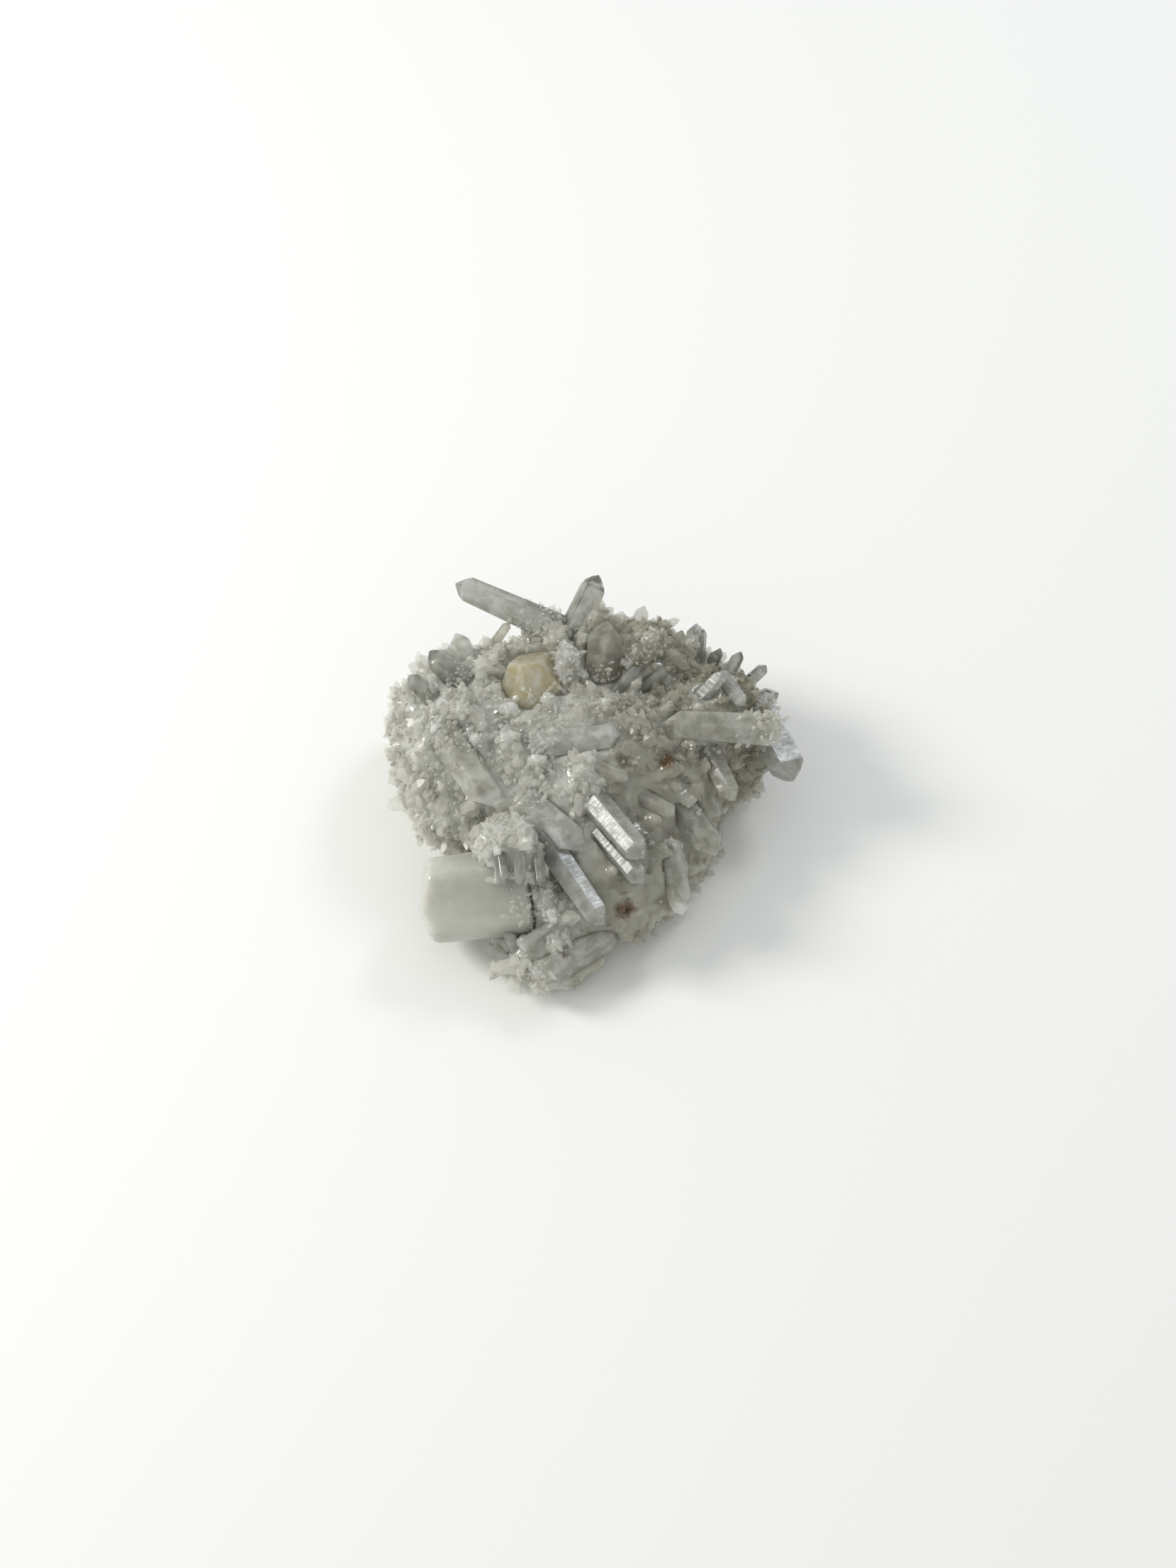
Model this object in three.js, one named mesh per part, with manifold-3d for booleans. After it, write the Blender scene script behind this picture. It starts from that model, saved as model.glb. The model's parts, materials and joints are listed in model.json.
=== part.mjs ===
// A quartz crystal cluster, as broken from the wall of a pocket: a milky quartz matrix whose top and sides
// are crusted with a druse of small crystals, and larger crystals that grow out of it at their own angles.
// Millimetres, +Z up, +Y towards the back. The matrix stands on a flat broken face at z = 0, and the origin
// is at the middle of the whole cluster's footprint on that face.
import * as THREE from "three";
import { mergeVertices } from "three/addons/utils/BufferGeometryUtils.js";
import Module from "manifold-3d";

const wasm = await Module();
wasm.setup();

// ---- driving dimensions, in mm and degrees ----
const SOCKET_GAP = 0.3; // between a large crystal and the matrix or the crystal that it grew against
const ROOT_SHARE = 0.8; // how deep a large crystal is rooted in the matrix, as a share of its width
const LEAST_ROOT = 2.5;
const MOST_ROOT = 6;
const FLOOR_CLEARANCE = 0.4; // no large crystal reaches lower than this above the resting face
const RHOMB_NORMAL = 51.8; // between the c axis of quartz and the normal of a rhombohedral face
const PRISM_TAPER = 1.4; // how far a prism face leans in towards the tip
const LUMP_DETAIL = 2; // subdivisions of the icosahedron that a lump starts from
const LUMP_ROUGHNESS = 0.055; // how far a lump's skin wanders, as a share of its radius
const DRUSE_SINK = 0.45; // how deep a druse crystal is rooted, as a share of its length
const DRUSE_LOWEST = 4; // no druse crystal grows lower than this above the resting face

const QUARTZ = { clear: "#c3c5c0", milky: "#cfcfc8", smoky: "#a7a296", amber: "#c9bd98" };

// The matrix is a heap of lumps. Each names its own druse: how far apart its crystals stand and their widths.
const LUMPS = [
  { name: "core", at: [0, 0, 12], radii: [33, 28, 21], spacing: 7.6, widths: [2.4, 4.4] },
  { name: "left_lobe", at: [-26, 6, 15], radii: [18, 22, 17], spacing: 6.0, widths: [2.2, 3.8] },
  { name: "right_lobe", at: [23.5, 7, 14.5], radii: [17.5, 16, 16], spacing: 6.0, widths: [2.4, 4.2] },
  { name: "back_ridge", at: [4, 18, 17], radii: [27, 13, 18], spacing: 6.0, widths: [2.8, 5.2] },
  { name: "front_apron", at: [2, -24, 10], radii: [22, 20, 14], spacing: 7.6, widths: [2.2, 4.0] },
  { name: "front_toe", at: [-8, -40.5, 4], radii: [12.5, 12, 8], spacing: 5.2, widths: [2.0, 3.4] },
  { name: "right_wall", at: [13, -15, 8], radii: [16.5, 16.5, 13], spacing: 8, widths: [2.4, 3.8] },
  { name: "block_saddle", at: [-15.5, -28.5, 17], radii: [10, 9.5, 10.5], spacing: 5.4, widths: [2.0, 3.0] },
  { name: "left_shoulder", at: [-26, -8, 11], radii: [14, 13, 13], spacing: 6.0, widths: [2.0, 3.2] },
];

// A large crystal. root is where its axis leaves the matrix, heading its direction in plan (0 = +X, 90 = +Y),
// pitch its rise above the horizontal. length runs from the root to the apex, width is across the flats.
// blunt below 1 flattens the tip, flat below 1 squeezes the prism like a lath, turn rolls it about its axis.
function crystal(name, kind, root, [heading, pitch], [length, width], more = {}) {
  return { name, kind, root, heading, pitch, length, width, ...more };
}

// A crystal yields to those above it in the list where they meet.
const CRYSTALS = [
  crystal("milky_block", "milky", [-18.5, -34.5, 14], [186, -4], [24.3, 21.6], { blunt: 0.3, flat: 0.64, turn: 151 }),
  crystal("right_long", "clear", [36.5, -1, 28], [181, 7], [22.5, 6.8]),
  crystal("right_twin", "clear", [39.9, 6.9, 18.6], [-66, -6], [17.5, 10.4], { flat: 0.64, turn: 103 }),
  crystal("bright_twin_upper", "clear", [4, -23, 26.5], [-57, 6], [16, 5.6], { turn: 37 }),
  crystal("bright_twin_lower", "clear", [4.8, -28, 23.5], [-57, 2], [13.5, 4.6], { turn: 37 }),
  crystal("lower_long", "clear", [-7, -30, 22], [-57, -8], [20, 5.8], { turn: 48 }),
  crystal("left_milky_long", "milky", [-28.5, -6.7, 26.8], [-58, -6], [17.5, 7.2], { turn: 6 }),
  crystal("centre_fat", "milky", [-9, -22.6, 24], [-45, 2], [13, 8.4], { turn: 14 }),
  crystal("centre_milky", "milky", [-7.5, -6.6, 30.2], [5, 6], [16, 6.2], { blunt: 0.7 }),
  crystal("amber_block", "amber", [-12.6, 10.2, 30.2], [-112, 34], [10, 12.6], { blunt: 0.5 }),
  crystal("back_left_long", "clear", [-10.5, 25.5, 33], [156, 8], [23, 5.8]),
  crystal("back_right_point", "clear", [-2.5, 25.5, 33], [61, 30], [13, 5.8], { turn: 14 }),
  crystal("crusted_spire", "milky", [-4.5, 9, 31.5], [92, 50], [11, 5.2]),
  crystal("ridge_smoky_block", "smoky", [3.5, 16, 33], [86, 40], [9.5, 8]),
  crystal("ridge_slanted", "smoky", [11.5, 15, 33.5], [40, 30], [9.5, 4.8]),
  crystal("ridge_clear_point", "clear", [24, 20, 26], [83, 40], [9.5, 4.4]),
  crystal("ridge_small_point", "clear", [20, 20.5, 27], [74, 40], [6.5, 2.6]),
  crystal("shoulder_lath_upper", "clear", [27, 8.5, 30.3], [40, 30], [6.5, 3.8], { flat: 0.7, turn: 34 }),
  crystal("shoulder_lath_lower", "clear", [31, 11.5, 28.6], [-66, 15], [10, 3.8], { flat: 0.7, turn: 149 }),
  crystal("crest_tip_a", "clear", [28.5, 21, 24], [56, 46], [4.5, 2.8]),
  crystal("crest_tip_b", "clear", [33, 21, 22], [55, 40], [5, 3]),
  crystal("crest_tip_c", "clear", [37, 19, 20], [31, 30], [6, 3]),
  crystal("crest_tip_d", "clear", [39, 15.5, 17], [19, 10], [6, 3.5]),
  crystal("left_stub_upper", "clear", [-30, 13, 30], [142, 20], [9, 5.4]),
  crystal("left_stub_lower", "clear", [-36, 9, 28.5], [137, 12], [7, 3.8]),
  crystal("left_crest_block", "smoky", [-28, 19.5, 28], [114, 40], [7, 4.6]),
  crystal("left_crest_spike", "smoky", [-21.5, 22, 29], [42, 40], [7, 2]),
  crystal("toe_long", "milky", [-7.5, -49.5, 7.5], [35, 3], [19.5, 6.6]),
  crystal("toe_dark_tip", "clear", [-18.5, -45.5, 6], [150, 15], [4.5, 2.4]),
  crystal("toe_up_point", "clear", [-16.5, -44, 9.5], [120, 50], [6, 2.4]),
  crystal("toe_slim_point", "clear", [-12.5, -45.5, 11.5], [40, 14], [11, 2.6]),
  crystal("hanging_left", "clear", [-18.5, -34.5, 25.5], [-81, -10], [5.5, 2.4]),
  crystal("hanging_middle", "clear", [-14.5, -35, 26], [-88, -10], [5.5, 2.4]),
  crystal("hanging_right", "clear", [-10.5, -34.5, 25], [-84, -12], [5.5, 2.2]),
  crystal("front_right_stalk", "milky", [18, -29, 18], [-78, -18], [13.5, 4.8]),
  crystal("right_shadow_block", "smoky", [22.5, -18.5, 18.5], [-55, -10], [11.5, 6.8]),
  crystal("right_shadow_point", "clear", [28, -6, 23], [-66, -8], [11.5, 4.8]),
  crystal("ridge_lath_right", "clear", [13, 9.5, 30.5], [32, 22], [6.5, 2.3]),
  crystal("ridge_lath_left", "clear", [7.5, 8.5, 32], [36, 30], [6, 2.4]),
  crystal("mid_flat_point", "clear", [4.5, -13.5, 30], [-34, 10], [6, 3.2]),
  crystal("right_low_point", "clear", [14, -18, 24.5], [-36, 5], [7, 3.4]),
  crystal("back_wall_long", "clear", [10, 29, 17], [82, 16], [9, 5]),
  crystal("back_wall_stub", "milky", [-3, 29.5, 13], [104, 4], [7, 6.2]),
  crystal("back_wall_low", "clear", [19, 26, 9], [68, -2], [8, 4.2]),
  crystal("back_left_wall", "milky", [-27, 25.5, 14], [112, 12], [8, 5.2]),
  crystal("back_right_wall", "smoky", [35.5, 17.5, 12], [38, 6], [7, 4.6]),
  crystal("left_wall_point", "clear", [-41, 4, 9.5], [184, 2], [4, 3.4]),
  crystal("back_centre_tip", "clear", [-13, 26, 22], [98, 30], [8, 3.6]),
];

// ---- numbers that repeat from run to run ----
function randomFrom(seed) {
  let state = seed >>> 0;
  return () => {
    state = (state + 0x6d2b79f5) >>> 0;
    let t = state;
    t = Math.imul(t ^ (t >>> 15), t | 1);
    t ^= t + Math.imul(t ^ (t >>> 7), t | 61);
    return ((t ^ (t >>> 14)) >>> 0) / 4294967296;
  };
}

function seedOf(name) {
  let seed = 7;
  for (const letter of name) seed = (seed * 31 + letter.charCodeAt(0)) >>> 0;
  return seed;
}

const radians = THREE.MathUtils.degToRad;

function directionOf(heading, pitch) {
  const flat = Math.cos(radians(pitch));
  return new THREE.Vector3(
    flat * Math.cos(radians(heading)),
    flat * Math.sin(radians(heading)),
    Math.sin(radians(pitch)),
  );
}

// ---- solids ----
function solidFrom(geometry) {
  const bare = geometry.index ? geometry.toNonIndexed() : geometry.clone();
  bare.deleteAttribute("normal");
  bare.deleteAttribute("uv");
  const merged = mergeVertices(bare, 1e-4);
  return new wasm.Manifold(
    new wasm.Mesh({
      numProp: 3,
      vertProperties: new Float32Array(merged.attributes.position.array),
      triVerts: new Uint32Array(merged.index.array),
    }),
  );
}

function geometryFrom(solid) {
  const mesh = solid.getMesh();
  const position = new Float32Array(mesh.numVert * 3);
  for (let i = 0; i < mesh.numVert; i++) {
    position.set(mesh.vertProperties.subarray(i * mesh.numProp, i * mesh.numProp + 3), i * 3);
  }
  const geometry = new THREE.BufferGeometry();
  geometry.setAttribute("position", new THREE.BufferAttribute(position, 3));
  geometry.setIndex(new THREE.BufferAttribute(new Uint32Array(mesh.triVerts), 1));
  geometry.computeVertexNormals();
  return geometry;
}

// The biggest of the separate bodies that a cut can leave.
function largestBody(solid) {
  const bodies = solid.decompose();
  return bodies.reduce((best, body) => (body.volume() > best.volume() ? body : best));
}

// The closed convex body inside a set of planes, each { normal, reach } with normal . point <= reach.
function bodyInside(planes) {
  const positions = [];
  planes.forEach((face, i) => {
    const corners = [];
    for (let j = 0; j < planes.length; j++) {
      for (let k = j + 1; k < planes.length; k++) {
        if (j === i || k === i) continue;
        const corner = meetingPoint(face, planes[j], planes[k]);
        if (!corner) continue;
        if (planes.some((p) => p.normal.dot(corner) > p.reach + 1e-6)) continue;
        if (corners.some((c) => c.distanceTo(corner) < 1e-4)) continue;
        corners.push(corner);
      }
    }
    if (corners.length < 3) return;
    const middle = new THREE.Vector3();
    corners.forEach((c) => middle.addScaledVector(c, 1 / corners.length));
    const u = corners[0].clone().sub(middle).normalize();
    const v = face.normal.clone().cross(u);
    const angle = (c) => Math.atan2(c.clone().sub(middle).dot(v), c.clone().sub(middle).dot(u));
    corners.sort((a, b) => angle(a) - angle(b));
    for (let c = 1; c + 1 < corners.length; c++) {
      positions.push(...corners[0].toArray(), ...corners[c].toArray(), ...corners[c + 1].toArray());
    }
  });
  const geometry = new THREE.BufferGeometry();
  geometry.setAttribute("position", new THREE.Float32BufferAttribute(positions, 3));
  return geometry;
}

function meetingPoint(a, b, c) {
  const bc = b.normal.clone().cross(c.normal);
  const bottom = a.normal.dot(bc);
  if (Math.abs(bottom) < 1e-7) return null;
  return bc
    .multiplyScalar(a.reach)
    .add(c.normal.clone().cross(a.normal).multiplyScalar(b.reach))
    .add(a.normal.clone().cross(b.normal).multiplyScalar(c.reach))
    .divideScalar(bottom);
}

// A quartz crystal along +Z: six prism faces, six rhombohedral faces that close the tip, and a root face.
// Three of the tip faces are larger than the three between them, and no two prism faces are quite alike.
// A small crystal has only the three larger ones.
function crystalSolid({ length, width, rootDepth, seed, blunt = 1, flat = 1, grow = 0, small = false }) {
  const random = randomFrom(seed);
  const slope = radians(RHOMB_NORMAL);
  const lean = radians(PRISM_TAPER);
  const planes = [{ normal: new THREE.Vector3(0, 0, -1), reach: rootDepth + grow }];
  for (let i = 0; i < 6; i++) {
    const angle = radians(i * 60 + (random() - 0.5) * 3);
    const outward = new THREE.Vector3(Math.cos(angle), Math.sin(angle), 0);
    const squeeze = 1 - (1 - flat) * Math.abs(outward.x);
    const reach = (width / 2) * (0.9 + 0.2 * random()) * squeeze;
    planes.push({
      normal: outward.clone().multiplyScalar(Math.cos(lean)).setZ(Math.sin(lean)),
      reach: reach * Math.cos(lean) + grow,
    });
    if (small && i % 2) continue;
    const drop = width * (i % 2 ? 0.1 * random() : 0.12 + 0.2 * random());
    const steepness = i % 2 ? slope : slope * (0.85 + 0.15 * blunt);
    const top = length - drop;
    planes.push({
      normal: outward.clone().multiplyScalar(Math.sin(steepness) * blunt).setZ(Math.cos(steepness)).normalize(),
      reach: 0,
    });
    const tip = planes[planes.length - 1];
    tip.reach = tip.normal.z * top + grow;
  }
  return solidFrom(bodyInside(planes));
}

// Moves a crystal made along +Z so that its root stands at a point and its axis runs in a direction.
function placed(solid, root, direction, turn = 0) {
  const aim = new THREE.Quaternion().setFromUnitVectors(new THREE.Vector3(0, 0, 1), direction);
  const roll = new THREE.Quaternion().setFromAxisAngle(new THREE.Vector3(0, 0, 1), radians(turn));
  const place = new THREE.Matrix4().compose(root, aim.multiply(roll), new THREE.Vector3(1, 1, 1));
  return solid.transform(place.toArray());
}

// ---- the matrix ----
// A smooth wandering of the skin with a wavelength of about a third of a lump's radius.
function wander(p) {
  return (
    Math.sin(p.x * 0.31 + p.y * 0.17) * Math.cos(p.y * 0.27 - p.z * 0.23) +
    0.6 * Math.sin(p.z * 0.41 + p.x * 0.37 + 1.3) * Math.cos(p.y * 0.53 + 0.7)
  );
}

function lumpSolid({ at, radii }) {
  const geometry = new THREE.IcosahedronGeometry(1, LUMP_DETAIL);
  const position = geometry.getAttribute("position");
  const point = new THREE.Vector3();
  for (let i = 0; i < position.count; i++) {
    point.fromBufferAttribute(position, i).normalize();
    const skin = point.clone().multiply(new THREE.Vector3(...radii)).add(new THREE.Vector3(...at));
    point.multiplyScalar(1 + LUMP_ROUGHNESS * wander(skin));
    point.multiply(new THREE.Vector3(...radii)).add(new THREE.Vector3(...at));
    position.setXYZ(i, point.x, point.y, point.z);
  }
  return solidFrom(geometry);
}

function insideLump(point, { at, radii }, share) {
  const scaled = [point.x - at[0], point.y - at[1], point.z - at[2]].map((d, i) => d / radii[i]);
  return Math.hypot(...scaled) < share;
}

// Sites on a lump's skin that no other lump covers, each at least the lump's spacing from every earlier site.
function druseSites(lump, earlier) {
  const random = randomFrom(seedOf(lump.name));
  const tries = 1600;
  const sites = [];
  for (let t = 0; t < tries; t++) {
    const up = 2 * random() - 1;
    const around = 2 * Math.PI * random();
    const level = Math.sqrt(1 - up * up);
    const unit = new THREE.Vector3(level * Math.cos(around), level * Math.sin(around), up);
    const size = random();
    const tilt = new THREE.Vector3(random() - 0.5, random() - 0.5, random() - 0.5);
    const point = unit.clone().multiply(new THREE.Vector3(...lump.radii)).add(new THREE.Vector3(...lump.at));
    if (point.z < DRUSE_LOWEST) continue;
    if (LUMPS.some((other) => other !== lump && insideLump(point, other, 0.99))) continue;
    if (earlier.concat(sites).some((s) => s.point.distanceTo(point) < lump.spacing)) continue;
    const normal = unit.clone().divide(new THREE.Vector3(...lump.radii)).normalize();
    sites.push({ point, direction: normal.addScaledVector(tilt, 0.9).normalize(), size, lump });
  }
  return sites;
}

function druseCrystal({ point, direction, size, lump }, index) {
  const width = lump.widths[0] + (lump.widths[1] - lump.widths[0]) * size ** 2;
  const length = width * (1.5 + 1.1 * randomFrom(index)());
  const lowest = point.z + direction.z * length * (1 - DRUSE_SINK);
  if (lowest < DRUSE_LOWEST / 2) return null;
  const crystal = crystalSolid({ length, width, rootDepth: 0, seed: index * 13 + 5, small: true });
  return placed(crystal, point.clone().addScaledVector(direction, -length * DRUSE_SINK), direction, index * 37);
}

function matrixSolid() {
  const heap = wasm.Manifold.union(LUMPS.map(lumpSolid));
  const sites = [];
  for (const lump of LUMPS) sites.push(...druseSites(lump, sites));
  const druse = sites.map(druseCrystal).filter((crystal) => crystal !== null);
  return wasm.Manifold.union([heap, ...druse]).trimByPlane([0, 0, 1], 0);
}

// ---- the large crystals ----
function largeCrystal(spec, grow) {
  const direction = directionOf(spec.heading, spec.pitch);
  const rootDepth = THREE.MathUtils.clamp(spec.width * ROOT_SHARE, LEAST_ROOT, MOST_ROOT);
  const solid = crystalSolid({ ...spec, rootDepth, seed: seedOf(spec.name), grow });
  return placed(solid, new THREE.Vector3(...spec.root), direction, spec.turn ?? seedOf(spec.name) % 60);
}

const grown = CRYSTALS.map((spec) => largeCrystal(spec, SOCKET_GAP));
const crystals = CRYSTALS.map((spec, index) => {
  const inWay = grown.slice(0, index);
  const solid = inWay.reduce((rest, neighbour) => rest.subtract(neighbour), largeCrystal(spec, 0));
  return largestBody(solid.trimByPlane([0, 0, 1], FLOOR_CLEARANCE));
});
const matrix = largestBody(grown.reduce((rest, crystal) => rest.subtract(crystal), matrixSolid()));

// ---- the cluster ----
function meshOf(name, kind, solid) {
  const material = new THREE.MeshStandardMaterial({ color: QUARTZ[kind], roughness: 0.2, metalness: 0 });
  const mesh = new THREE.Mesh(geometryFrom(solid), material);
  mesh.name = name;
  return mesh;
}

const cluster = new THREE.Group();
cluster.name = "quartz_cluster";
cluster.add(meshOf("matrix", "milky", matrix));
CRYSTALS.forEach((spec, index) => cluster.add(meshOf(spec.name, spec.kind, crystals[index])));

// The footprint's middle becomes the origin.
const bounds = new THREE.Box3().setFromObject(cluster);
cluster.position.set(-(bounds.min.x + bounds.max.x) / 2, -(bounds.min.y + bounds.max.y) / 2, -bounds.min.z);

export default cluster;
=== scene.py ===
"""A quartz crystal cluster: a milky matrix under a crust of small points, with large crystals that grow out
of it. Every large crystal keeps the solid of its CAD node, with softened edges, growth lines and veils.
Metres, +Z up."""

import json
import math
import random

import bmesh
import bpy
import numpy as np
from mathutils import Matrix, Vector, noise
from mathutils.bvhtree import BVHTree


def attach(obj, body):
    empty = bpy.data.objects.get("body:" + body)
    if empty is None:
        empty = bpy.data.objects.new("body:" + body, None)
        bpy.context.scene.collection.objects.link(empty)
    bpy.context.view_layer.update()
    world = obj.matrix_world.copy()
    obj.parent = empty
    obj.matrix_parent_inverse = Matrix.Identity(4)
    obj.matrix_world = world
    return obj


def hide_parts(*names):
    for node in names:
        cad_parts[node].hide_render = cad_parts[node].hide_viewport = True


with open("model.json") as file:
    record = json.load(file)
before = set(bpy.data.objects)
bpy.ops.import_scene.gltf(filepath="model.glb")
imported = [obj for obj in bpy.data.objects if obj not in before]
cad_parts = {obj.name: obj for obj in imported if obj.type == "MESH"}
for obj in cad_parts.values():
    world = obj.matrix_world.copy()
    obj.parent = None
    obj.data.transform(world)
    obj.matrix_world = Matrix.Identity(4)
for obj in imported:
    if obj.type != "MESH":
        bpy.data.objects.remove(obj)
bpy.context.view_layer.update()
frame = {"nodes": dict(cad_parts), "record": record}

MM = 0.001
QUARTZ_IOR = 1.544
RHOMB_NORMAL = math.radians(51.8)  # between the c axis of quartz and the normal of a tip face
WELD_DISTANCE = 0.002 * MM
FLAT_ANGLE = math.radians(1.5)  # triangles that turn less than this from each other are one face


# ---- small tools ----
def linear(hex_colour):
    """An sRGB hex colour as the linear colour that a shader socket takes."""
    parts = [int(hex_colour[i : i + 2], 16) / 255 for i in (1, 3, 5)]
    return (*((c / 12.92 if c <= 0.04045 else ((c + 0.055) / 1.055) ** 2.4) for c in parts), 1.0)


def add_node(tree, kind, inputs=None, **settings):
    """Adds a node with its settings. An input's value is a number, a colour or another node's output."""
    made = tree.nodes.new(kind)
    for name, value in settings.items():
        setattr(made, name, value)
    for name, value in (inputs or {}).items():
        if isinstance(value, bpy.types.NodeSocket):
            tree.links.new(value, made.inputs[name])
        else:
            made.inputs[name].default_value = value
    return made


def object_of(name, mesh, material=None):
    made = bpy.data.objects.new(name, mesh)
    bpy.context.scene.collection.objects.link(made)
    if material:
        mesh.materials.clear()
        mesh.materials.append(material)
    return made


def merged(node):
    """A mesh with the shape of a CAD node, its loose triangles joined into flat faces."""
    bm = bmesh.new()
    bm.from_mesh(frame["nodes"][node].data)
    bmesh.ops.remove_doubles(bm, verts=bm.verts, dist=WELD_DISTANCE)
    bmesh.ops.dissolve_limit(bm, angle_limit=FLAT_ANGLE, verts=bm.verts, edges=bm.edges)
    mesh = bpy.data.meshes.new(node)
    bm.to_mesh(mesh)
    bm.free()
    return mesh


def evaluated(holder):
    """The mesh that an object's modifiers make, as a plain mesh."""
    return bpy.data.meshes.new_from_object(holder.evaluated_get(bpy.context.evaluated_depsgraph_get()))


def modified(mesh, kind, **settings):
    """The mesh after one modifier."""
    holder = object_of("holder", mesh)
    modifier = holder.modifiers.new(kind.lower(), kind)
    for name, value in settings.items():
        setattr(modifier, name, value)
    made = evaluated(holder)
    bpy.data.objects.remove(holder)
    return made


def store(mesh, name, values):
    """Keeps one number for each vertex as an attribute of the mesh."""
    made = mesh.attributes.get(name) or mesh.attributes.new(name, "FLOAT", "POINT")
    made.data.foreach_set("value", np.array(values, np.float32))


def held(value, low=0.0, high=1.0):
    return max(low, min(high, value))


# ---- finishes ----
# Where iron has stained the quartz: the middle of each stain and its reach, in mm, and its strength.
RUST_SPOTS = [
    ((7, -31, 16.5), 5.0, 1.2),
    ((16, -0.5, 29.5), 5.0, 1.3),
    ((-2, -11.5, 25), 3.0, 0.95),
    ((-6, -39, 11), 3.5, 0.8),
    ((-7, -27.5, 19), 3.0, 0.9),
    ((1.5, 9, 33.5), 3.5, 0.7),
    ((5, 23, 34.5), 3.5, 0.7),
]
RUST_BROWN = "#5d3f1c"
RUST_STREAKS = 1.8 * MM
# The sum of spot and streaks where a stain begins and where it is full, and how much of the quartz it hides.
RUST_BEGINS, RUST_IS_FULL, RUST_HIDES = 0.95, 1.5, 0.9

VEIL_BEGINS, VEIL_IS_FULL = 0.32, 0.68  # on a noise that runs from 0 to 1 about a middle of 0.5
VEIL_CLARITY = 0.85  # how clear a veil is against the quartz around it
ETCH_SIZE = 1.6 * MM
ETCH_DEPTH = 0.25 * MM
SKIN_LOW, SKIN_HIGH = 0.35, 0.65  # the noise at the smoothest and at the roughest skin
ROUGHNESS_SPREAD = 0.5
GROWTH_STEP = 0.8 * MM
GROWTH_STEP_DEPTH = 0.12 * MM
GROWTH_WOBBLE = 4 * MM
# A painted highlight: the white that a lit tip face is painted, and the shares of length where it begins and
# is full.
TIP_HIGHLIGHT_WHITE = "#fbfbf8"
TIP_HIGHLIGHT_BEGINS, TIP_HIGHLIGHT_IS_FULL = 0.84, 0.92  # as shares of a crystal's length
POINT_DEEP, POINT_PALE = 0.5, 2.5  # the sum of rise, tone and veil at either end of the colours
SCATTER_RADIUS = (1.0, 0.99, 0.95)  # red light wanders a little further in than blue


def rust_mask(tree, place):
    """How much iron stain there is at a point: strongest in the middle of each spot, broken into streaks."""
    streaks = add_node(
        tree,
        "ShaderNodeTexNoise",
        {"Vector": place, "Scale": 1 / RUST_STREAKS, "Detail": 4, "Distortion": 1.5},
    )
    total = None
    for middle, reach, strength in RUST_SPOTS:
        away = add_node(
            tree, "ShaderNodeVectorMath", {0: place, 1: Vector(middle) * MM}, operation="DISTANCE"
        ).outputs["Value"]
        spot = add_node(
            tree,
            "ShaderNodeMapRange",
            {"Value": away, "From Max": reach * MM, "To Min": strength, "To Max": 0},
        ).outputs[0]
        if total is None:
            total = spot
        else:
            total = add_node(tree, "ShaderNodeMath", {0: total, 1: spot}, operation="MAXIMUM").outputs[0]
    broken = add_node(
        tree, "ShaderNodeMath", {0: total, 1: streaks.outputs[0]}, operation="ADD"
    ).outputs[0]
    return add_node(
        tree,
        "ShaderNodeMapRange",
        {"Value": broken, "From Min": RUST_BEGINS, "From Max": RUST_IS_FULL, "To Max": RUST_HIDES},
        interpolation_type="SMOOTHSTEP",
    ).outputs[0]


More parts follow.
